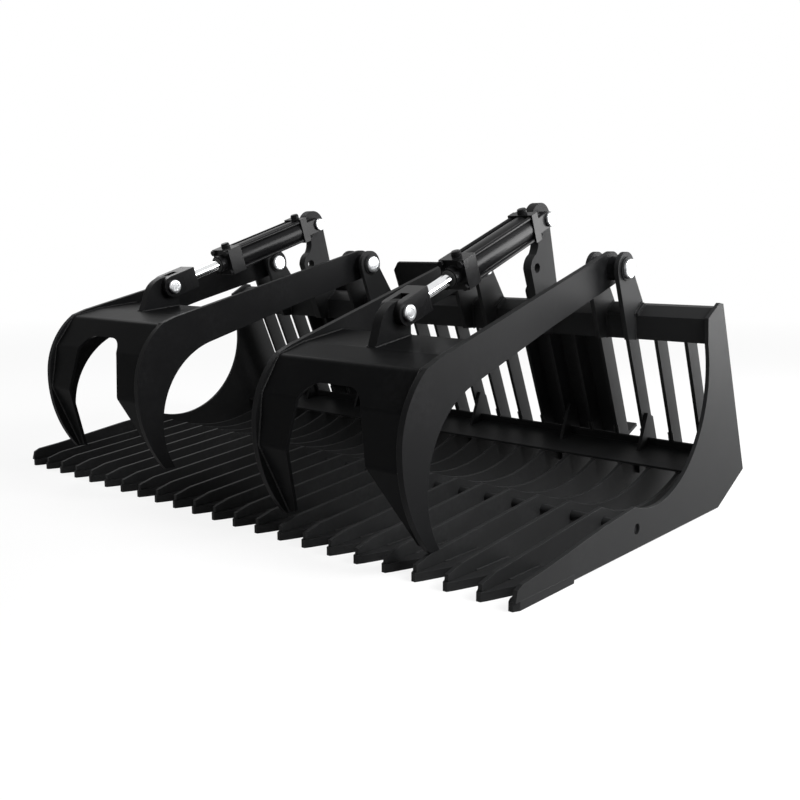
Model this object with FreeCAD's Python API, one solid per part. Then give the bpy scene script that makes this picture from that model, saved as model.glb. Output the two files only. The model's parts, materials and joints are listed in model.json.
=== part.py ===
import FreeCAD, Part
import math
import os
from FreeCAD import Placement, Rotation, Vector

# Rock grapple bucket, 72 inches wide. Millimetres, x across, y to the rear, z up from the ground.
# Section points are (y, z), measured from the front of the ribs.

# Ribs, edge and frame
PITCH = 82.55            # between rib centres
SIDE = 11                # the side plate is this many pitches from the middle
RIB_T = 9.5
EDGE_T = 19.0            # cutting edge plate
EDGE_DEPTH = 209.0
EDGE_FRONT = 3.0
FINGER_W = 24.0
FINGER_TIP = 10.0        # width of a finger at its tip
FINGER_TAPER = 15.0
FINGER_ROOT = 97.0       # depth of the notch between two fingers
NOSE = 8.0               # front of the tines
FLOOR_Z = 7.0            # underside of the ribs
LEAN = 23.15             # degrees the rear plane leans forward
REAR_FOOT = (1083.0, 83.0)
REAR_HEEL = (928.0, FLOOR_Z)
SIDE_TOP = 537.0         # height of the side plate at the rear plane
UPRIGHT_W = 50.8
ROD_AT = (477.0, 53.0)   # cross rod through the ribs
ROD_R = 12.5
ROD_RECESS = 6.0         # of the cross rod's ends in the side plates
STRIP_T = 6.0            # heel strip of two flat bars
STRIP_FRONT = (868.0, 98.0)
STRIP_BEND_Z = 124.0
STRIP_TOP_Z = 150.0
RAIL_T = 6.0             # top rail
RAIL_Z = 440.0           # its underside, and that of the ears
RAIL_LOW_Y = 835.0
RAIL_FACE = (827.0, 501.0)
RAIL_PEAK = (864.0, 527.0)
RAIL_BACK = (890.0, 530.0)
PAD_T = 8.0              # flat bar under an ear pair
PAD_LEN = 110.0
GUSSET_T = 9.5
GUSSET_RIBS = (1, 5, 8)
GUSSET_NOSE = (946.0, 114.0)
GUSSET_TOP = (990.0, 220.0)
GUSSET_FOOT = (955.0, 55.0)
GUSSET_HEEL = (1036.0, 68.0)
GUSSET_BACK = 8.0        # its rear edge from the rear plane
GUSSET_REAR_Z = (95.0, 210.0)

# Grapple hinge and its cylinder
HINGE = (770.0, 622.0)
BASE_PIN = (768.0, 748.0)
ROD_PIN = (206.0, 530.0)
GRAPPLE_X = 440.0        # middle of a grapple from the middle of the bucket
ARM_SPREAD = 440.8       # between the middles of two arms
ARM_T = 15.0
ARM_EYE_R = 43.0
LEFT_OPEN = 3.5          # degrees that the left grapple stands open
TIP_Z = 51.0
HUB_R = 30.0
HUB_LEN = 68.0
EAR_T = 12.0
EAR_OUT = 41.0           # middle of an ear from the middle of its arm
EAR_R = 42.0
EAR_FRONT = 797.0        # of an ear and a bracket at their underside
EAR_END = 8.0            # rear end of an ear from the rail's peak
BRACKET_END = 5.0
HINGE_PIN_R = 16.0
HINGE_HEAD_R = 25.0
HINGE_HEAD_T = 10.0
BOSS_T = 5.0
SHEET_T = 8.0
SHEET_BEND = 12.0        # inner radius of its folds
ARCH_R = 60.0
ARCH_TOP = (40.0, 386.0)  # half width of the arch's flat top, and its height
LUG_T = 25.0
LUG_R = 30.0
LUG_FEET = (118.0, 237.0)  # where its outline leaves the sheet's top
LUG_NECK = (133.0, 502.0)
LUG_SHOULDER = (154.0, 538.0)
BRACKET_T = 25.0
BRACKET_R = 44.0
SPARE_HOLE_R = 13.0
SPARE_HOLE_AT = (755.0, 620.0)

# Cylinder, lengths along its axis from the base pin
PIN_R = 12.7
PIN_HEAD_R = 19.0
PIN_HEAD_T = 9.0
CAP = 76.0               # square of both caps
BASE_CAP = 48.0
BASE_CAP_T = 27.0
HEAD_CAP = 334.0
HEAD_CAP_T = 50.0
GLAND_R = 24.0
GLAND_T = 21.0
BORE_R = 31.75
BARREL_R = 35.0
TIE_R = 5.0
TIE_AT = 29.5
NUT_FLATS = 15.0
NUT_T = 8.0
PORT_R = 13.0
PORT_H = 10.0
PORT_HOLE_R = 7.0
PORT_DEPTH = 22.0
ROD_D = 28.6
PISTON_T = 26.0
ROD_LEN = 284.0          # rod from its piston to its clevis
CLEVIS_BACK = 83.0       # clevis end from the rod pin
CLEVIS_R = 30.0
CLEVIS_W = 62.0
BASE_FORK_R = 21.0

# Loader mount on the rear plane
MOUNT_T = 9.5
MOUNT_IN = 330.0
MOUNT_OUT = 578.0
MOUNT_Z = (130.0, 575.0)
MOUNT_LIP = 50.0
MOUNT_LEDGE = 60.0
LIP_ANGLE = 45.0
MOUNT_BEND = 3.0         # inner radius of its folds
LATCH_SLOT = (64.0, 24.0)
CENTRE_W = 314.0
CENTRE_Z = (440.0, 627.0)
CENTRE_CUT = 24.0

RUN = 0.05               # radial clearance of a turning or sliding fit
SEAT = 0.3               # clearance of a piece laid in its slot or hole
PLAY = 7.5               # radial play of the rod pin in its lug
FORK_GAP = 0.5           # between a fork leg and what stands in the fork
TIP_GAP = 1.0            # between a lug's end and its fork, with the play taken up


def add(a, b, k=1.0):
    return (a[0] + k * b[0], a[1] + k * b[1])


def unit(angle):
    """Direction at an angle in degrees from +Y towards +Z."""
    return (math.cos(math.radians(angle)), math.sin(math.radians(angle)))


def meet(a, b, c, d):
    """Where the line through a and b crosses the line through c and d."""
    u, v, w = add(b, a, -1), add(d, c, -1), add(c, a, -1)
    k = (w[0] * v[1] - w[1] * v[0]) / (u[0] * v[1] - u[1] * v[0])
    return add(a, u, k)


def at(a, b, y):
    """The point of the line through a and b at y."""
    return (y, a[1] + (b[1] - a[1]) * (y - a[0]) / (b[0] - a[0]))


def tangent_arc(a, b):
    """Middle of the arc that starts upright at a and ends at b."""
    dy, dz = add(b, a, -1)
    r = (dy * dy + dz * dz) / (2 * dy)
    return swing((a[0] + r, a[1]), a, b)


def swing(centre, a, b, far=False):
    """Middle of the arc about a centre from a to b."""
    r = math.dist(centre, a)
    m = add(((a[0] + b[0]) / 2, (a[1] + b[1]) / 2), centre, -1)
    return add(centre, m, (-r if far else r) / math.hypot(*m))


def skin(points, thick):
    """The other side of a folded plate, its thickness to the right of the points."""
    sides = []
    for a, b in zip(points, points[1:]):
        d = add(b, a, -1)
        n = (d[1] / math.hypot(*d), -d[0] / math.hypot(*d))
        sides.append((add(a, n, thick), add(b, n, thick)))
    folds = [meet(*p, *q) for p, q in zip(sides, sides[1:])]
    return [sides[0][0]] + folds + [sides[-1][1]]


def outline(*steps):
    """Closed wire of (y, z) corners; a pair of points is an arc through one to the other."""
    edges, here = [], steps[0]
    for step in steps[1:] + steps[:1]:
        arc = isinstance(step[0], tuple)
        end = step[1] if arc else step
        if arc:
            edges.append(Part.Arc(*[Vector(0, *p) for p in (here, step[0], end)]).toShape())
        elif math.dist(here, end) > 1e-6:
            edges.append(Part.LineSegment(Vector(0, *here), Vector(0, *end)).toShape())
        here = end
    return Part.Wire(edges)


def slab(x, thick, wire):
    """Plate of a section, its middle at x."""
    return Part.Face(wire).extrude(Vector(thick, 0, 0)).translated(Vector(x - thick / 2, 0, 0))


def bent(points, radii):
    """Steps of an outline along points, each inner corner rounded."""
    steps = [points[0]]
    for a, b, c, r in zip(points, points[1:], points[2:], radii):
        u, v = add(a, b, -1), add(c, b, -1)
        u, v = (u[0] / math.hypot(*u), u[1] / math.hypot(*u)), (v[0] / math.hypot(*v), v[1] / math.hypot(*v))
        m = add(u, v)
        half = math.asin(math.hypot(u[0] - v[0], u[1] - v[1]) / 2)
        steps += [add(b, u, r / math.tan(half)),
                  (add(b, m, (r / math.sin(half) - r) / math.hypot(*m)), add(b, v, r / math.tan(half)))]
    return steps + [points[-1]]


def fold(points, thick, bend):
    """Folded plate on the right of the points, with the inner radius of its folds."""
    other = skin(points, thick)
    right = [(b[0] - a[0]) * (c[1] - b[1]) < (b[1] - a[1]) * (c[0] - b[0])
             for a, b, c in zip(points, points[1:], points[2:])]
    near = bent(points, [bend + thick * turned for turned in right])
    far = bent(other[::-1], [bend + thick * (not turned) for turned in right[::-1]])
    return outline(*near, *far)


def round_x(yz, r, x0, x1):
    return Part.makeCylinder(r, x1 - x0, Vector(x0, *yz), Vector(1, 0, 0))


def round_z(x, y, r, z0, z1):
    return Part.makeCylinder(r, z1 - z0, Vector(x, y, z0))


def box(x0, x1, y0, y1, z0, z1):
    return Part.makeBox(x1 - x0, y1 - y0, z1 - z0, Vector(x0, y0, z0))


def hexagon(x, y, flats, z0, z1):
    r = flats / math.sqrt(3)
    ring = [Vector(x + r * math.cos(math.pi / 3 * i), y + r * math.sin(math.pi / 3 * i), z0) for i in range(7)]
    return Part.Face(Part.makePolygon(ring)).extrude(Vector(0, 0, z1 - z0))


# Lines that several pieces share
UP = unit(90 + LEAN)
BACK = unit(LEAN)
SIDE_X = SIDE * PITCH


def rear(z):
    """Point of the rear plane at a height."""
    return (REAR_FOOT[0] - (z - REAR_FOOT[1]) * math.tan(math.radians(LEAN)), z)


def front(z):
    """Point of the uprights' front edge at a height."""
    y, z = rear(z)
    return (y - UPRIGHT_W / math.cos(math.radians(LEAN)), z)


def on_rear(a, b):
    return meet(a, b, REAR_FOOT, add(REAR_FOOT, UP))


strip_under = [STRIP_FRONT, front(STRIP_BEND_Z), front(STRIP_TOP_Z)]
strip_top = skin(strip_under, -STRIP_T)
floor_end = on_rear(*strip_under[:2])

rail_low, rail_face, rail_peak = (RAIL_LOW_Y, RAIL_Z), RAIL_FACE, RAIL_PEAK
rail_out = [front(rail_low[1]), rail_low, rail_face, rail_peak, on_rear(rail_peak, RAIL_BACK)]
rail_in = skin(rail_out, RAIL_T)
rail_in[0] = front(rail_in[1][1])
rail_in[-1] = on_rear(*rail_in[-2:])

nodes = {}


def ribs(name, x, wire):
    """A rib with its hole for the cross rod."""
    nodes[name] = slab(x, RIB_T, wire).cut(round_x(ROD_AT, ROD_R + SEAT, x - RIB_T, x + RIB_T))


# Tines and side plates stand on the cutting edge and reach back to the rear plane
edge_rear = EDGE_FRONT + EDGE_DEPTH
foot = [REAR_FOOT, REAR_HEEL, (edge_rear, FLOOR_Z), (edge_rear, EDGE_T)]
tine = outline((NOSE, EDGE_T), (NOSE, 34.0), (54.0, 47.0), (467.0, 91.0), ((661.0, 52.0), STRIP_FRONT),
               floor_end, *foot)
for i in range(1, 2 * SIDE):
    ribs("tine_%02d" % i, (i - SIDE) * PITCH, tine)

side_crest, side_throat = (467.0, 106.0), (812.0, 440.0)
side = outline((2.0, EDGE_T), (8.0, 42.0), (25.0, 50.0), (98.0, 58.0), (328.0, 92.0), side_crest,
               ((752.0, 171.0), side_throat), (805.0, 505.0), (867.0, 540.0), rear(SIDE_TOP), *foot)
ribs("side_plate_left", -SIDE_X, side)
ribs("side_plate_right", SIDE_X, side)
span = 2 * SIDE_X - RIB_T

# Cutting edge with a finger under each rib
half = SIDE_X + RIB_T / 2
tips = [min(max(k * PITCH, FINGER_W / 2 - half), half - FINGER_W / 2) for k in range(-SIDE, SIDE + 1)]
edge = [(-half, edge_rear)]
for k, x in enumerate(tips):
    if k:
        edge.append(((k - SIDE - 0.5) * PITCH, EDGE_FRONT + FINGER_ROOT))
    edge += [(x - FINGER_W / 2, EDGE_FRONT + FINGER_TAPER), (x - FINGER_TIP / 2, EDGE_FRONT),
             (x + FINGER_TIP / 2, EDGE_FRONT), (x + FINGER_W / 2, EDGE_FRONT + FINGER_TAPER)]
edge.append((half, edge_rear))
edge_wire = Part.makePolygon([Vector(*p, 0) for p in edge + edge[:1]])
nodes["cutting_edge"] = Part.Face(edge_wire).extrude(Vector(0, 0, EDGE_T))

# Uprights from the heel strip to the top rail
upright = outline(strip_under[1], floor_end, rail_in[4], rail_in[3],
                  meet(front(0), front(RAIL_Z), rail_in[2], rail_in[3]))
nodes["uprights"] = Part.makeCompound([slab(k * PITCH, RIB_T, upright) for k in range(1 - SIDE, SIDE)])
nodes["top_rail"] = slab(0, span, outline(*rail_out, *reversed(rail_in)))
nodes["cross_rod"] = round_x(ROD_AT, ROD_R, ROD_RECESS - half, half - ROD_RECESS)

# Gussets lapped on the outer side of some ribs, through slots in the heel strip
gusset_rear = [add(rear(z), BACK, -GUSSET_BACK) for z in GUSSET_REAR_Z]
gusset = outline(GUSSET_NOSE, GUSSET_TOP, *reversed(gusset_rear), GUSSET_HEEL, GUSSET_FOOT)
gusset_slot = outline(*[add(p, (SEAT, 0), -1) for p in (GUSSET_FOOT, GUSSET_NOSE, GUSSET_TOP)],
                      rear(GUSSET_TOP[1]), rear(GUSSET_FOOT[1]))
lap = (RIB_T + GUSSET_T) / 2
gusset_x = [s * (k * PITCH + lap) for k in GUSSET_RIBS for s in (-1, 1)]
nodes["gussets"] = Part.makeCompound([slab(x, GUSSET_T, gusset) for x in gusset_x])
gusset_slots = [slab(x, GUSSET_T + 2 * SEAT, gusset_slot) for x in gusset_x]
legs = [slab(0, span, outline(strip_top[i], strip_top[i + 1], strip_under[i + 1], strip_under[i])) for i in (0, 1)]
nodes["heel_strip"] = Part.makeCompound([leg.cut(gusset_slots) for leg in legs])

# Flat bars on the rail's slope, with the ears and brackets notched over them and the rail
arm_x = [s * GRAPPLE_X + t * ARM_SPREAD / 2 for s in (-1, 1) for t in (-1, 1)]
pad = skin([rail_face, rail_peak], -PAD_T)
pad_wire = outline(rail_face, rail_peak, *reversed(pad))
nodes["rail_bars"] = Part.makeCompound([slab(x, PAD_LEN, pad_wire) for x in arm_x])
ear_foot = (EAR_FRONT, RAIL_Z)
ear_in, ear_out = add(HINGE, unit(200), EAR_R), add(HINGE, unit(-15), EAR_R)
ear = outline(ear_foot, ear_in, (add(HINGE, unit(90), EAR_R), ear_out),
              at(rail_peak, rail_out[4], rail_peak[0] + EAR_END), rail_peak, *reversed(pad), rail_face, rail_low)


def ear_pair(x):
    """Two ears, the one under the pin's head with a boss."""
    left, right = (slab(x + s * EAR_OUT, EAR_T, ear) for s in (-1, 1))
    face = x + EAR_OUT + EAR_T / 2
    bore = round_x(HINGE, HINGE_PIN_R + RUN, x - GRAPPLE_X, x + GRAPPLE_X)
    return [left.cut(bore), right.fuse(round_x(HINGE, HUB_R, face, face + BOSS_T)).cut(bore)]


nodes["ears"] = Part.makeCompound([e for x in arm_x for e in ear_pair(x)])

bracket_in, bracket_out = add(BASE_PIN, unit(205), BRACKET_R), add(BASE_PIN, unit(-15), BRACKET_R)
bracket = outline(ear_foot, (754.0, 544.0), (725.0, 617.0), ((731.0, 641.0), (748.0, 656.0)),
                  ((757.0, 690.0), bracket_in), (add(BASE_PIN, unit(90), BRACKET_R), bracket_out),
                  at(rail_peak, rail_out[4], rail_peak[0] + BRACKET_END), rail_peak, rail_face, rail_low)

# Pins with a head on the right
ear_face = EAR_OUT + EAR_T / 2 + BOSS_T


def pin(yz, x, r, head_r, head_t, face):
    shank = round_x(yz, r, x - face - head_t, x + face)
    return shank.fuse(round_x(yz, head_r, x + face, x + face + head_t))


nodes["hinge_pins"] = Part.makeCompound(
    [pin(HINGE, x, HINGE_PIN_R, HINGE_HEAD_R, HINGE_HEAD_T, ear_face) for x in arm_x])

# Folded loader mount plates, each with a lip above and a slotted ledge below
foot_in, top_in = rear(MOUNT_Z[0]), rear(MOUNT_Z[1])
mount = fold([add(foot_in, BACK, MOUNT_LEDGE), foot_in, top_in,
              add(top_in, unit(LEAN - LIP_ANGLE), MOUNT_LIP)], MOUNT_T, MOUNT_BEND)
mount_w = MOUNT_OUT - MOUNT_IN
slot_at = add(foot_in, BACK, (MOUNT_LEDGE + MOUNT_T) / 2)
slot = box(-LATCH_SLOT[0] / 2, LATCH_SLOT[0] / 2, -LATCH_SLOT[1] / 2, LATCH_SLOT[1] / 2, -2 * MOUNT_T, 2 * MOUNT_T)


def mount_plate(x):
    tilt = Placement(Vector(x, *slot_at), Rotation(Vector(1, 0, 0), LEAN))
    return slab(x, mount_w, mount).cut(slot.transformed(tilt.toMatrix()))


def rear_plate(points, thick):
    """Flat plate on the rear plane from (x, z) corners."""
    ring = [Vector(x, *rear(z)) for x, z in points + points[:1]]
    return Part.Face(Part.makePolygon(ring)).extrude(Vector(0, *BACK) * thick)


cw, (c0, c1) = CENTRE_W / 2, CENTRE_Z
nodes["centre_plate"] = rear_plate([(-cw, c0), (cw, c0), (cw, c1 - CENTRE_CUT), (cw - CENTRE_CUT, c1),
                                    (CENTRE_CUT - cw, c1), (-cw, c1 - CENTRE_CUT)], MOUNT_T)

# Grapple arm, closed: straight back to its eye, two arcs outside and two inside
eye_tilt = 17.07
eye_top, eye_low = add(HINGE, unit(90 + eye_tilt), ARM_EYE_R), add(HINGE, unit(-80), ARM_EYE_R)
arm_nose, arm_throat = (-40.0, 277.0), (40.0, 180.0)
arm_knee, arm_root = (37.0, 437.0), (184.0, 385.0)
tip_out, tip_in = (47.8, TIP_Z), (79.5, TIP_Z)
arm = outline(eye_top, (76.0, 453.0), arm_knee, (tangent_arc(arm_nose, arm_knee), arm_nose),
              (tangent_arc(arm_nose, tip_out), tip_out), tip_in, (tangent_arc(arm_throat, tip_in), arm_throat),
              (tangent_arc(arm_throat, arm_root), arm_root), (483.0, 487.0), eye_low,
              (add(HINGE, unit(0), ARM_EYE_R), eye_top))

# Folded face sheet between the arms, with an arch cut in its front
sheet_skin = [(54.0, 58.0), (-33.0, 232.0), (-20.0, 350.0), (33.0, 433.0), (112.0, 456.0), (240.0, 477.0)]
sheet = fold(sheet_skin, SHEET_T, SHEET_BEND)
arch_foot, arch_mid = (196.0, 40.0), (121.0, 232.0)
arch_middle = (ARCH_TOP[0], ARCH_TOP[1] - ARCH_R)
arch_side = add(arch_middle, unit(12), ARCH_R)
arch_bend = add(arch_middle, unit(51), ARCH_R)
foot_m, mid_m, side_m, bend_m, top_m = ((-a, z) for a, z in (arch_foot, arch_mid, arch_side, arch_bend, ARCH_TOP))
arch_wire = outline(arch_foot, arch_mid, arch_side, (arch_bend, ARCH_TOP), top_m, (bend_m, side_m), mid_m, foot_m)
top_rear, top_front = sheet_skin[5], sheet_skin[4]
lug_in, lug_out = add(ROD_PIN, unit(118), LUG_R), add(ROD_PIN, unit(0), LUG_R)
lug = outline(at(top_front, top_rear, LUG_FEET[0]), LUG_NECK, (LUG_SHOULDER, lug_in),
              (add(ROD_PIN, unit(59), LUG_R), lug_out), at(top_front, top_rear, LUG_FEET[1]))


def turn(yz, open_deg):
    """Where a point of the grapple goes when it opens."""
    d = add(yz, HINGE, -1)
    return add(HINGE, unit(math.degrees(math.atan2(d[1], d[0])) - open_deg), math.hypot(*d))


def grapple(side, x, open_deg):
    opened = Placement(Vector(0, 0, 0), Rotation(Vector(-1, 0, 0), open_deg), Vector(0, *HINGE)).toMatrix()
    gap = ARM_SPREAD / 2
    eye = round_x(HINGE, HUB_R + RUN, x - 2 * gap, x + 2 * gap)
    for where, ax in (("outer", x + math.copysign(gap, x)), ("inner", x - math.copysign(gap, x))):
        nodes["arm_%s_%s" % (side, where)] = slab(ax, ARM_T, arm).cut(eye).transformed(opened)
    hubs = [round_x(HINGE, HUB_R, x + s * gap - HUB_LEN / 2, x + s * gap + HUB_LEN / 2)
            .cut(round_x(HINGE, HINGE_PIN_R + RUN, x - 2 * gap, x + 2 * gap)) for s in (-1, 1)]
    nodes["hubs_" + side] = Part.makeCompound(hubs).transformed(opened)
    arch = slab(0, 2 * gap, arch_wire).rotated(Vector(0, 0, 0), Vector(0, 0, 1), -90)
    face = slab(x, ARM_SPREAD - ARM_T, sheet).cut(arch.translated(Vector(x, 0, 0)))
    nodes["sheet_" + side] = face.transformed(opened)
    pivot = round_x(ROD_PIN, PIN_R + PLAY, x - LUG_T, x + LUG_T)
    nodes["lug_" + side] = slab(x, LUG_T, lug).cut(pivot).transformed(opened)


# Tie rod cylinder along z from its base pin, its ports towards y
corners = [(sx * TIE_AT, sy * TIE_AT) for sx in (-1, 1) for sy in (-1, 1)]
base_end, head_end = BASE_CAP + BASE_CAP_T, HEAD_CAP + HEAD_CAP_T


def fork(r, slot_half, width, floor, length, back):
    """Fork along z about a pin at its rounded end, its solid part between floor and length."""
    body = box(-width / 2, width / 2, -r, r, 0, length).fuse(round_x((0, 0), r, -width / 2, width / 2))
    body = body.cut(box(-slot_half, slot_half, -2 * r, 2 * r, -2 * r, floor))
    body = body.cut(round_x((0, 0), PIN_R + RUN, -width, width))
    return body.mirror(Vector(0, 0, 0), Vector(0, 0, 1)) if back else body


def cap(z0, z1):
    body = box(-CAP / 2, CAP / 2, -CAP / 2, CAP / 2, z0, z1)
    top = Vector(0, CAP / 2 + PORT_H, (z0 + z1) / 2)
    port = Part.makeCylinder(PORT_R, PORT_H, top, Vector(0, -1, 0))
    return body.fuse(port).cut(Part.makeCylinder(PORT_HOLE_R, PORT_DEPTH, top, Vector(0, -1, 0)))


def cylinder(side, x, open_deg):
    pin_yz = turn(ROD_PIN, open_deg)
    length = math.dist(BASE_PIN, pin_yz)
    axis = Vector(0, *add(pin_yz, BASE_PIN, -1))
    lay = Placement(Vector(x, *BASE_PIN), Rotation(Vector(0, 0, 1), axis)).toMatrix()
    ring = round_z(0, 0, BARREL_R, base_end, HEAD_CAP).cut(round_z(0, 0, BORE_R, base_end, HEAD_CAP))
    nodes["barrel_" + side] = ring.transformed(lay)
    base = cap(BASE_CAP, base_end).fuse(
        fork(BASE_FORK_R, BRACKET_T / 2 + FORK_GAP, CAP, BASE_CAP, BASE_CAP, False))
    head = cap(HEAD_CAP, head_end).fuse(round_z(0, 0, GLAND_R, head_end, head_end + GLAND_T))
    head = head.cut(round_z(0, 0, ROD_D / 2 + RUN, HEAD_CAP, head_end + GLAND_T))
    nodes["caps_" + side] = Part.makeCompound([base, head]).transformed(lay)
    ties = [round_z(tx, ty, TIE_R, base_end, HEAD_CAP) for tx, ty in corners]
    nuts = [hexagon(tx, ty, NUT_FLATS, z, z + NUT_T) for tx, ty in corners for z in (BASE_CAP - NUT_T, head_end)]
    nodes["tie_rods_" + side] = Part.makeCompound(ties + nuts).transformed(lay)
    rod_end = length - CLEVIS_BACK
    rod = round_z(0, 0, ROD_D / 2, rod_end - ROD_LEN, rod_end)
    piston = round_z(0, 0, BORE_R - RUN, rod_end - ROD_LEN, rod_end - ROD_LEN + PISTON_T)
    nodes["rod_" + side] = rod.fuse(piston).transformed(lay)
    clevis = fork(CLEVIS_R, LUG_T / 2 + FORK_GAP, CLEVIS_W, LUG_R + PLAY + TIP_GAP, CLEVIS_BACK, True)
    nodes["rod_clevis_" + side] = clevis.translated(Vector(0, 0, length)).transformed(lay)
    nodes["rod_pin_" + side] = pin(pin_yz, x, PIN_R, PIN_HEAD_R, PIN_HEAD_T, CLEVIS_W / 2 + SEAT)


for name, sign, open_deg in (("left", -1, LEFT_OPEN), ("right", 1, 0.0)):
    grapple(name, sign * GRAPPLE_X, open_deg)
    cylinder(name, sign * GRAPPLE_X, open_deg)
    pins = [round_x(BASE_PIN, PIN_R + RUN, -SIDE_X, SIDE_X),
            round_x(SPARE_HOLE_AT, SPARE_HOLE_R, -SIDE_X, SIDE_X)]
    nodes["bracket_" + name] = slab(sign * GRAPPLE_X, BRACKET_T, bracket).cut(pins)
    nodes["mount_plate_" + name] = mount_plate(sign * (MOUNT_IN + MOUNT_OUT) / 2)
nodes["base_pins"] = Part.makeCompound(
    [pin(BASE_PIN, s * GRAPPLE_X, PIN_R, PIN_HEAD_R, PIN_HEAD_T, CAP / 2 + SEAT) for s in (-1, 1)])

# The origin is on the ground under the middle of the whole part
bounds = Part.makeCompound(list(nodes.values())).optimalBoundingBox(False)
middle = Vector(0, -(bounds.YMin + bounds.YMax) / 2, 0)
print("origin at y %.4f, width %.2f, depth %.2f, height %.2f"
      % (-middle.y, bounds.XLength, bounds.YLength, bounds.ZLength))
os.makedirs("parts", exist_ok=True)
for name, shape in nodes.items():
    shape.translated(middle).exportStep("parts/%s.step" % name)
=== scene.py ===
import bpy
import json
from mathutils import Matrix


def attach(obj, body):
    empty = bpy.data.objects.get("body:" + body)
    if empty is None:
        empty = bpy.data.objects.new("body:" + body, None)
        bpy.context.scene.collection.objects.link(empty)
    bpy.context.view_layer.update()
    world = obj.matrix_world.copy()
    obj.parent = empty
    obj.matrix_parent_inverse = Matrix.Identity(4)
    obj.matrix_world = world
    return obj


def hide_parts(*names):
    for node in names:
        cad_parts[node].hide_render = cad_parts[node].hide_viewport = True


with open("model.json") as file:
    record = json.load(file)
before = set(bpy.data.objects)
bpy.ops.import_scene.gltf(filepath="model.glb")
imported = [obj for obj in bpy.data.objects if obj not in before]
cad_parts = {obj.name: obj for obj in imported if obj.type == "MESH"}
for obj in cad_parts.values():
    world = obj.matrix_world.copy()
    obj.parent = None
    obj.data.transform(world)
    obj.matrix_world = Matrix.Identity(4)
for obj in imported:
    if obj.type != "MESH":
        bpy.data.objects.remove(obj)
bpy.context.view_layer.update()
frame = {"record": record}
import json
import math
import bpy
from mathutils import Vector

# Sizes of the rock grapple that the dressing follows, in millimetres: across, to the rear, up
ORIGIN_Y = 528.9488
PITCH = 82.55
SIDE = 11
RIB_T = 9.5
EDGE_T = 19.0
HINGE = (770.0, 622.0)
BASE_PIN = (768.0, 748.0)
ROD_PIN = (206.0, 530.0)
GRAPPLE_X = 440.0
ARM_SPREAD = 440.8
ARM_T = 15.0
LEFT_OPEN = 3.5
EAR_OUT, EAR_T, BOSS_T = 41.0, 12.0, 5.0
PIN_R, PIN_HEAD_R, PIN_HEAD_T = 12.7, 19.0, 9.0
CAP, HEAD_END, GLAND_T, CLEVIS_W = 76.0, 384.0, 21.0, 62.0
SHEET_SKIN = [(54.0, 58.0), (-33.0, 232.0), (-20.0, 350.0), (33.0, 433.0), (112.0, 456.0), (240.0, 477.0)]
LEAN, REAR_FOOT, UPRIGHT_W = 23.15, (1083.0, 83.0), 50.8
RAIL_LOW, RAIL_FACE, RAIL_PEAK = (835.0, 440.0), (827.0, 501.0), (864.0, 527.0)
PAD_T, PAD_LEN = 8.0, 110.0
STRIP_T, STRIP_FRONT, STRIP_BEND_Z, STRIP_TOP_Z = 6.0, (868.0, 98.0), 124.0, 150.0

EDGE_SEAM_Y = (101.0, 212.0)
REAR_SEAM_Z = 172.0
HEEL_SEAM = [(866.0, 97.0), (874.0, 98.0)]
RAIL_SEAM = (440.0, 439.0)
PLATE_T = 25.0
LUG_SEAM = [(118.0, 457.0), (237.0, 476.5)]
HINGE_PIN_R, HINGE_HEAD_R, HINGE_HEAD_T = 16.0, 25.0, 10.0
SEAT = 0.3
PORT_AT, PORT_H = (61.5, 359.0), 10.0

# Camera of the photograph
CAMERA = (1844.0, -1381.0, 676.0)
TURN, DOWN = 41.38, 9.33
LENS = 932.0 / 800.0 * 36.0


def place(x, y, z):
    """A point of the drawing in metres, in the part's frame."""
    return Vector((x, y - ORIGIN_Y, z)) / 1000


def opened(yz, side):
    """Where a point of a grapple lies at rest."""
    turn = math.radians(-LEFT_OPEN if side < 0 else 0.0)
    dy, dz = yz[0] - HINGE[0], yz[1] - HINGE[1]
    return (HINGE[0] + dy * math.cos(turn) - dz * math.sin(turn),
            HINGE[1] + dy * math.sin(turn) + dz * math.cos(turn))


# Shader expressions
class Val:
    """A socket that can be used in sums."""

    def __init__(self, look, socket):
        self.look, self.socket = look, socket

    def maths(self, operation, *others):
        return self.look.node("Math", {"operation": operation}, *others)

    def __add__(self, other):
        return self.maths("ADD", self, other)

    def __radd__(self, other):
        return self.maths("ADD", other, self)

    def __sub__(self, other):
        return self.maths("SUBTRACT", self, other)

    def __rsub__(self, other):
        return self.maths("SUBTRACT", other, self)

    def __mul__(self, other):
        return self.maths("MULTIPLY", self, other)

    def __rmul__(self, other):
        return self.maths("MULTIPLY", other, self)

    def clamp(self, low, high):
        return self.look.node("MapRange", {}, self, low, high, 0.0, 1.0)


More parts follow.
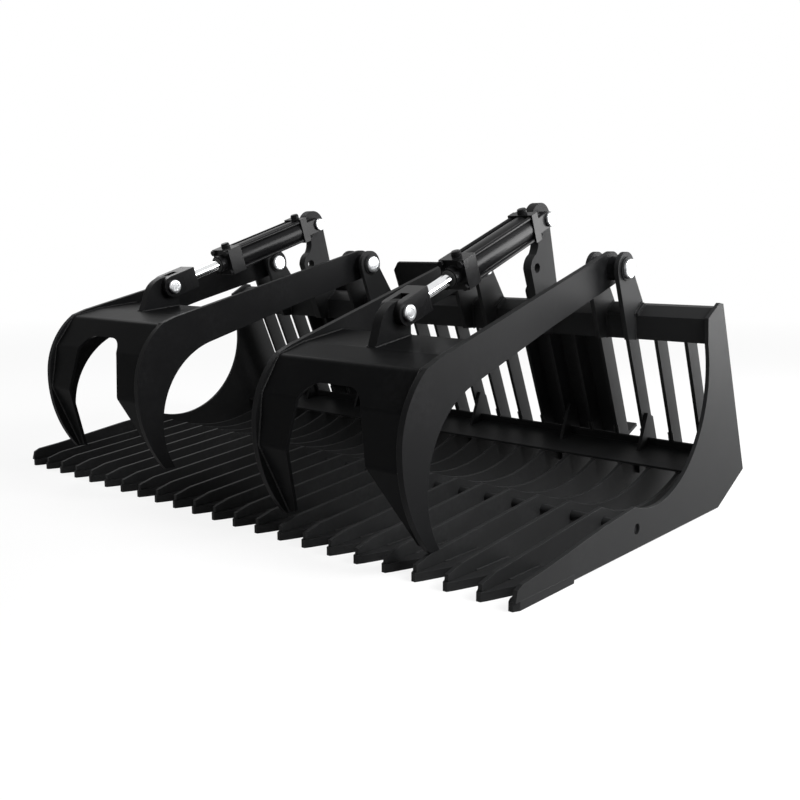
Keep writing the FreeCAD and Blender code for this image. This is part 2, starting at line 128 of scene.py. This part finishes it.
class Look:
    """A material and the nodes that make it."""

    def __init__(self, name):
        self.material = bpy.data.materials.new(name)
        self.material.use_nodes = True
        self.tree = self.material.node_tree
        self.shader = self.tree.nodes["Principled BSDF"]
        self.spot = self.node("TexCoord", {}, out="Object")

    def node(self, kind, settings, *values, out=0, **named):
        made = self.tree.nodes.new("ShaderNode" + kind)
        for key, value in settings.items():
            setattr(made, key, value)
        for key, value in list(enumerate(values)) + list(named.items()):
            socket = made.inputs[key]
            if isinstance(value, Val):
                self.tree.links.new(value.socket, socket)
            else:
                socket.default_value = value
        return Val(self, made.outputs[out])

    def noise(self, scale, detail=2.0, roughness=0.5):
        return self.node("TexNoise", {}, Vector=self.spot, Scale=scale, Detail=detail, Roughness=roughness)

    def blend(self, amount, dark, light):
        made = self.tree.nodes.new("ShaderNodeMix")
        made.data_type = "RGBA"
        for index, value in ((0, amount), (6, dark), (7, light)):
            if isinstance(value, Val):
                self.tree.links.new(value.socket, made.inputs[index])
            else:
                made.inputs[index].default_value = value if index == 0 else (*value, 1.0)
        return Val(self, made.outputs[2])

    def put(self, **sockets):
        for name, value in sockets.items():
            socket = self.shader.inputs[name.replace("_", " ")]
            if isinstance(value, Val):
                self.tree.links.new(value.socket, socket)
            else:
                socket.default_value = value
        return self.material


def paint(name, dark, dusty, dull, shine):
    """Sprayed enamel: orange peel, faint dust, and edges painted lighter, partly a coat worn thin and partly
    a painted highlight. Dull is its roughness.
    """
    look = Look(name)
    peel = look.noise(260.0, 2.0)
    drift = look.noise(5.0, 4.0, 0.6)
    speck = look.noise(70.0, 3.0, 0.7)
    bevel_normal = look.node("Bevel", {"samples": 6}, 0.0016)
    flat = look.node("NewGeometry", {}, out="True Normal")
    turn = look.node("VectorMath", {"operation": "DOT_PRODUCT"}, bevel_normal, flat, out="Value")
    # Edge mask from the bevelled normal: marks the edges for a painted highlight, which also stands for coat
    # worn thin there
    edge_wear_and_highlight = (1.0 - turn).clamp(0.0, 0.25)
    dust = drift.clamp(0.45, 0.8) * speck.clamp(0.35, 0.7)
    body = look.blend(dust, dark, dusty)
    # Painted highlight: edges lightened towards grey, partly worn coat
    rim_wear_and_highlight = look.blend(edge_wear_and_highlight * 0.07, body, (0.10, 0.103, 0.107))
    bump = look.node("Bump", {}, Strength=0.10, Distance=0.0004, Height=peel, Normal=bevel_normal)
    look.put(Base_Color=rim_wear_and_highlight, Roughness=dull + drift * 0.12 + dust * 0.1 - edge_wear_and_highlight * 0.08, Normal=bump)
    look.put(Specular_IOR_Level=shine)
    return look.material


def plating(name, colour, rough, spread, grain):
    """Bare or plated steel with a fine turned grain."""
    look = Look(name)
    blotch = look.noise(40.0, 3.0, 0.6)
    fine = look.noise(grain, 1.0)
    bevel_normal = look.node("Bevel", {"samples": 4}, 0.0008)
    bump = look.node("Bump", {}, Strength=0.06, Distance=0.0002, Height=fine, Normal=bevel_normal)
    shade = look.blend(blotch, tuple(0.82 * c for c in colour), colour)
    look.put(Base_Color=shade, Metallic=1.0, Roughness=rough + blotch * spread, Normal=bump)
    return look.material


paint_black = paint("black_enamel", (0.012, 0.0122, 0.0125), (0.022, 0.0224, 0.023), 0.44, 0.04)
paint_arm = paint("arm_enamel", (0.006, 0.0061, 0.0064), (0.012, 0.0122, 0.0126), 0.36, 0.024)
# Darker copy of the black enamel for the sheets: its darker base colour is painted shade, holding the sheets
# as dark as the lighting leaves them
paint_sheet_shaded = paint("sheet_enamel_shaded", (0.0042, 0.0043, 0.0045), (0.009, 0.0092, 0.0095), 0.26, 0.008)
paint_cylinder = paint("cylinder_enamel", (0.0045, 0.0045, 0.0048), (0.011, 0.011, 0.0116), 0.22, 0.075)
weld_black = paint("painted_weld", (0.004, 0.004, 0.0042), (0.012, 0.0122, 0.0125), 0.42, 0.16)
chrome = plating("hard_chrome", (0.86, 0.87, 0.88), 0.07, 0.06, 900.0)
zinc = plating("bright_zinc", (0.56, 0.57, 0.58), 0.24, 0.2, 1400.0)
rubber = paint("seal_rubber", (0.01, 0.01, 0.01), (0.03, 0.03, 0.03), 0.6, 0.3)

FINISH = {"chrome": chrome, "zinc": zinc, "paint": paint_black}
slot_of = {part["node"]: part["material_slot"] for part in frame["record"]["subparts"]}
for node, slot in slot_of.items():
    finish = FINISH[slot]
    if node.startswith(("barrel", "caps", "tie_rods", "rod_clevis")):
        finish = paint_cylinder
    elif node.startswith(("arm", "lug", "hubs")):
        finish = paint_arm
    elif node.startswith("sheet"):
        finish = paint_sheet_shaded
    for held in bpy.data.objects[node].material_slots:
        held.material = finish


def piece(name, mesh, body):
    mesh.name = name
    thing = bpy.data.objects.new(name, mesh)
    bpy.context.scene.collection.objects.link(thing)
    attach(thing, body)
    return thing


# Weld beads: flattened drops laid close along the seams
def bead_tree():
    tree = bpy.data.node_groups.new("weld_bead", "GeometryNodeTree")
    face = tree.interface
    face.new_socket("Seam", in_out="INPUT", socket_type="NodeSocketGeometry")
    sizes = {"Leg": 0.0036, "Step": 0.0031, "Flatness": 0.6}
    for name, size in sizes.items():
        face.new_socket(name, in_out="INPUT", socket_type="NodeSocketFloat").default_value = size
    face.new_socket("Seed", in_out="INPUT", socket_type="NodeSocketInt").default_value = 3
    face.new_socket("Finish", in_out="INPUT", socket_type="NodeSocketMaterial")
    face.new_socket("Bead", in_out="OUTPUT", socket_type="NodeSocketGeometry")
    nodes, link = tree.nodes, tree.links.new
    given, done = nodes.new("NodeGroupInput"), nodes.new("NodeGroupOutput")
    curve, even = nodes.new("GeometryNodeMeshToCurve"), nodes.new("GeometryNodeResampleCurve")
    even.mode = "LENGTH"
    drop = nodes.new("GeometryNodeMeshUVSphere")
    drop.inputs["Segments"].default_value, drop.inputs["Rings"].default_value = 8, 4
    lay, spin = nodes.new("GeometryNodeInstanceOnPoints"), nodes.new("FunctionNodeAlignRotationToVector")
    along, vary = nodes.new("GeometryNodeInputTangent"), nodes.new("FunctionNodeRandomValue")
    vary.data_type = "FLOAT"
    vary.inputs[2].default_value, vary.inputs[3].default_value = 0.85, 1.1
    shape, scale = nodes.new("ShaderNodeCombineXYZ"), nodes.new("ShaderNodeVectorMath")
    scale.operation = "SCALE"
    shape.inputs[0].default_value = shape.inputs[1].default_value = 1.0
    real, coat = nodes.new("GeometryNodeRealizeInstances"), nodes.new("GeometryNodeSetMaterial")
    link(given.outputs["Seam"], curve.inputs["Mesh"])
    link(curve.outputs[0], even.inputs["Curve"])
    link(given.outputs["Step"], even.inputs["Length"])
    link(given.outputs["Leg"], drop.inputs["Radius"])
    link(even.outputs[0], lay.inputs["Points"])
    link(drop.outputs[0], lay.inputs["Instance"])
    link(along.outputs[0], spin.inputs["Vector"])
    link(spin.outputs[0], lay.inputs["Rotation"])
    link(given.outputs["Flatness"], shape.inputs[2])
    link(shape.outputs[0], scale.inputs[0])
    link(given.outputs["Seed"], vary.inputs["Seed"])
    link(vary.outputs[1], scale.inputs["Scale"])
    link(scale.outputs[0], lay.inputs["Scale"])
    link(lay.outputs[0], real.inputs[0])
    link(real.outputs[0], coat.inputs["Geometry"])
    link(given.outputs["Finish"], coat.inputs["Material"])
    link(coat.outputs[0], done.inputs[0])
    return tree


def grown(name, tree, mesh, body, slot, **inputs):
    """A piece grown by a node tree from a mesh, kept as a plain mesh."""
    seed = bpy.data.objects.new(name + "_seed", mesh)
    bpy.context.scene.collection.objects.link(seed)
    modifier = seed.modifiers.new("grow", "NODES")
    modifier.node_group = tree
    for item in tree.interface.items_tree:
        if item.in_out == "INPUT" and item.name in inputs:
            modifier[item.identifier] = inputs[item.name]
    bpy.context.view_layer.update()
    made = bpy.data.meshes.new_from_object(seed.evaluated_get(bpy.context.evaluated_depsgraph_get()))
    seed.modifiers.remove(modifier)
    bpy.data.objects.remove(seed)
    return piece(name, made, body)


def seam_mesh(seams):
    """Edges along each seam, a seam being a list of points."""
    points, edges = [], []
    for seam in seams:
        first = len(points)
        points += seam
        edges += [(first + i, first + i + 1) for i in range(len(seam) - 1)]
    mesh = bpy.data.meshes.new("seams")
    mesh.from_pydata(points, edges, [])
    return mesh


def rear(z):
    return REAR_FOOT[0] - (z - REAR_FOOT[1]) * math.tan(math.radians(LEAN))


def front(z):
    return rear(z) - UPRIGHT_W / math.cos(math.radians(LEAN))


bead = bead_tree()
inner = [k * PITCH for k in range(1 - SIDE, SIDE)]
strip_low, strip_bend = STRIP_FRONT, (front(STRIP_BEND_Z), STRIP_BEND_Z)
strip_end = front(STRIP_TOP_Z)
slope = (RAIL_PEAK[0] - RAIL_FACE[0], RAIL_PEAK[1] - RAIL_FACE[1])
lift = PAD_T / math.hypot(*slope)
pad = [(y - slope[1] * lift, z + slope[0] * lift) for y, z in (RAIL_FACE, RAIL_PEAK)]
arms = [g * GRAPPLE_X + t * ARM_SPREAD / 2 for g in (-1, 1) for t in (-1, 1)]
seams = []
for x in inner:
    for s in (-1, 1):
        side_x = x + s * RIB_T / 2
        seams.append([place(side_x, y, EDGE_T) for y in EDGE_SEAM_Y])
        seams.append([place(side_x, strip_end, STRIP_TOP_Z), place(side_x, front(REAR_SEAM_Z), REAR_SEAM_Z)])
        seams.append([place(side_x, y, z) for y, z in HEEL_SEAM])
    seams.append([place(x + s * RIB_T / 2, front(RAIL_SEAM[0]), RAIL_SEAM[1]) for s in (-1, 1)])
for s in (-1, 1):
    wall = s * (SIDE * PITCH - RIB_T / 2)
    seams.append([place(wall, y, z) for y, z in (RAIL_LOW, RAIL_FACE, RAIL_PEAK)])
    seams.append([place(wall, y, EDGE_T) for y in EDGE_SEAM_Y])
    seams.append([place(wall, y, z + STRIP_T) for y, z in (strip_low, strip_bend)])
for x in arms:
    for s in (-1, 1):
        for face in (x + s * (EAR_OUT - EAR_T / 2), x + s * (EAR_OUT + EAR_T / 2)):
            seams.append([place(face, y, z) for y, z in (RAIL_LOW, RAIL_FACE, *pad)])
        end = x + s * PAD_LEN / 2
        seams.append([place(end, y, z) for y, z in (RAIL_FACE, RAIL_PEAK)])
for g in (-1, 1):
    for s in (-1, 1):
        wall = g * GRAPPLE_X + s * PLATE_T / 2
        seams.append([place(wall, y, z) for y, z in (RAIL_LOW, RAIL_FACE, RAIL_PEAK)])
grown("frame_welds", bead, seam_mesh(seams), "bucket", "paint", Finish=weld_black)

for side, word in ((-1, "left"), (1, "right")):
    middle = side * GRAPPLE_X
    seams = []
    for s in (-1, 1):
        wall = middle + s * (ARM_SPREAD - ARM_T) / 2
        seams.append([place(wall, *opened(p, side)) for p in SHEET_SKIN])
        seams.append([place(middle + s * PLATE_T / 2, *opened(p, side)) for p in LUG_SEAM])
    grown("grapple_welds_" + word, bead, seam_mesh(seams), "grapple_" + word, "paint", Finish=weld_black)


# Turned pieces
def turned(profile, start, axis, sides=40):
    """Solid of revolution: (along, radius) pairs from its start along an axis."""
    axis = axis.normalized()
    across = axis.orthogonal().normalized()
    up = axis.cross(across)
    points, faces = [], []
    for along, radius in profile:
        points += [start + (axis * along + (across * math.cos(a) + up * math.sin(a)) * radius) / 1000
                   for a in (2 * math.pi * i / sides for i in range(sides))]
    for ring in range(len(profile) - 1):
        for i in range(sides):
            j = (i + 1) % sides
            faces.append((ring * sides + i, ring * sides + j, (ring + 1) * sides + j, (ring + 1) * sides + i))
    faces.append(tuple(range(sides))[::-1])
    faces.append(tuple(range((len(profile) - 1) * sides, len(profile) * sides)))
    return points, faces


def joined(solids):
    points, faces = [], []
    for more, sides in solids:
        faces += [tuple(i + len(points) for i in face) for face in sides]
        points += more
    mesh = bpy.data.meshes.new("turned")
    mesh.from_pydata(points, [], faces)
    mesh.shade_smooth()
    mesh.set_sharp_from_angle(angle=math.radians(32))
    return mesh


def dressed(name, solids, body, finish):
    thing = piece(name, joined(solids), body)
    thing.data.materials.append(finish)
    return thing


RIGHT = Vector((1, 0, 0))


def pin_solid(x, yz, face, radius, head, head_t):
    """Pin with a domed, grooved head on the right and a chamfered tail."""
    profile = [(-face - head_t, radius - 2), (2 - face - head_t, radius), (face, radius), (face, head - 1),
               (face + 1, head), (face + head_t - 2.5, head), (face + head_t - 0.8, head - 1.4),
               (face + head_t, head - 3.5), (face + head_t, head * 0.55), (face + head_t - 0.7, head * 0.53),
               (face + head_t - 0.7, head * 0.46), (face + head_t, head * 0.44), (face + head_t, 1.0)]
    return turned(profile, place(x, *yz), RIGHT)


hinge_face = EAR_OUT + EAR_T / 2 + BOSS_T
solids = [pin_solid(x, HINGE, hinge_face, HINGE_PIN_R, HINGE_HEAD_R, HINGE_HEAD_T) for x in arms]
pins = dressed("hinge_pin_set", solids, "bucket", zinc)
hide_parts("hinge_pins")
solids = [pin_solid(g * GRAPPLE_X, BASE_PIN, CAP / 2 + SEAT, PIN_R, PIN_HEAD_R, PIN_HEAD_T) for g in (-1, 1)]
pins = dressed("base_pin_set", solids, "bucket", zinc)
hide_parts("base_pins")

for side, word in ((-1, "left"), (1, "right")):
    x = side * GRAPPLE_X
    end = opened(ROD_PIN, side)
    axis = (place(x, *end) - place(x, *BASE_PIN)).normalized()
    up = RIGHT.cross(axis) * -1
    if up.z < 0:
        up = -up
    base = place(x, *BASE_PIN)
    solid = pin_solid(x, end, CLEVIS_W / 2 + SEAT, PIN_R, PIN_HEAD_R, PIN_HEAD_T)
    pins = dressed("rod_pin_head_" + word, [solid], "rod_body_" + word, zinc)
    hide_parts("rod_pin_" + word)
    wiper = [(0.0, 14.5), (0.0, 20.0), (1.5, 20.5), (3.0, 19.0), (3.0, 14.5)]
    gland = base + axis * (HEAD_END + GLAND_T) / 1000
    dressed("rod_wiper_" + word, [turned(wiper, gland, axis)], "cylinder_" + word, rubber)
    fitting = [(-2.0, 6.8), (0.0, 6.8), (0.0, 11.5), (0.8, 12.0),
               (2.6, 12.0), (4.0, 10.5), (4.6, 7.0), (4.6, 0.5)]
    ports = [turned(fitting, base + (axis * along + up * (CAP / 2 + PORT_H)) / 1000, up, 24)
             for along in PORT_AT]
    dressed("port_plugs_" + word, ports, "cylinder_" + word, paint_cylinder)

# Studio
camera = bpy.data.objects.new("camera", bpy.data.cameras.new("camera"))
bpy.context.scene.collection.objects.link(camera)
camera.location = place(*CAMERA)
camera.rotation_euler = (math.radians(90 - DOWN), 0.0, math.radians(TURN))
camera.data.lens = LENS
camera.data.sensor_width = 36.0
camera.data.clip_end = 100.0
bpy.context.scene.camera = camera

floor_mesh = bpy.data.meshes.new("floor")
reach = 30.0
corners = [(-reach, -reach, 0), (reach, -reach, 0), (reach, reach, 0), (-reach, reach, 0)]
floor_mesh.from_pydata(corners, [], [(0, 1, 2, 3)])
floor = bpy.data.objects.new("floor", floor_mesh)
bpy.context.scene.collection.objects.link(floor)


def white_seen(tree, plain, share):
    """Mix plain with white light where the camera or a mirror looks."""
    path, white = tree.nodes.new("ShaderNodeLightPath"), tree.nodes.new("ShaderNodeEmission")
    mix = tree.nodes.new("ShaderNodeMixShader")
    seen = path.outputs["Is Camera Ray"]
    for operation, other in (("MAXIMUM", path.outputs["Is Glossy Ray"]),
                             ("MAXIMUM", path.outputs["Is Transmission Ray"]), ("MULTIPLY", share)):
        step = tree.nodes.new("ShaderNodeMath")
        step.operation = operation
        tree.links.new(seen, step.inputs[0])
        if isinstance(other, float):
            step.inputs[1].default_value = other
        else:
            tree.links.new(other, step.inputs[1])
        seen = step.outputs[0]
    tree.links.new(seen, mix.inputs[0])
    tree.links.new(plain, mix.inputs[1])
    tree.links.new(white.outputs[0], mix.inputs[2])
    return mix.outputs[0]


pale = Look("pale_floor")
away = pale.node("VectorMath", {"operation": "LENGTH"}, pale.spot, out="Value")
share = 0.86 + away.clamp(1.5, 7.0) * 0.14
pale.put(Base_Color=(0.92, 0.92, 0.92, 1.0), Roughness=0.9, Specular_IOR_Level=0.1)
pale.tree.links.new(white_seen(pale.tree, pale.shader.outputs[0], share.socket),
                    pale.tree.nodes["Material Output"].inputs["Surface"])
floor_mesh.materials.append(pale.material)

world = bpy.data.worlds.new("studio")
bpy.context.scene.world = world
world.use_nodes = True
sky = world.node_tree.nodes["Background"]
sky.inputs["Color"].default_value = (1.0, 1.0, 1.0, 1.0)
sky.inputs["Strength"].default_value = 0.22
world.node_tree.links.new(white_seen(world.node_tree, sky.outputs[0], 1.0),
                          world.node_tree.nodes["World Output"].inputs["Surface"])


def lamp(name, spot, aim, size, power):
    light = bpy.data.objects.new(name, bpy.data.lights.new(name, "AREA"))
    bpy.context.scene.collection.objects.link(light)
    light.data.size, light.data.energy = size, power
    light.location = spot
    light.visible_camera = False
    light.rotation_euler = (Vector(aim) - Vector(spot)).to_track_quat("-Z", "Y").to_euler()


# Name, place, aim, size in metres and watts of each lamp
for row in [
    ("side", (2.6, 2.7, 1.05), (0.6, 0.0, 0.3), 2.0, 190.0),
    ("key", (2.6, -1.0, 3.2), (0.0, -0.2, 0.3), 1.6, 15.0),
    ("right", (2.6, 0.1, 2.2), (0.0, 0.0, 0.1), 1.2, 120.0),
    ("left", (-2.4, 0.3, 2.4), (0.0, 0.0, 0.2), 1.4, 30.0),
    ("front", (-0.9, -2.6, 0.12), (-0.3, -0.5, 0.25), 1.2, 12.0),
]:
    lamp(*row)

bpy.context.scene.view_settings.view_transform = "Standard"
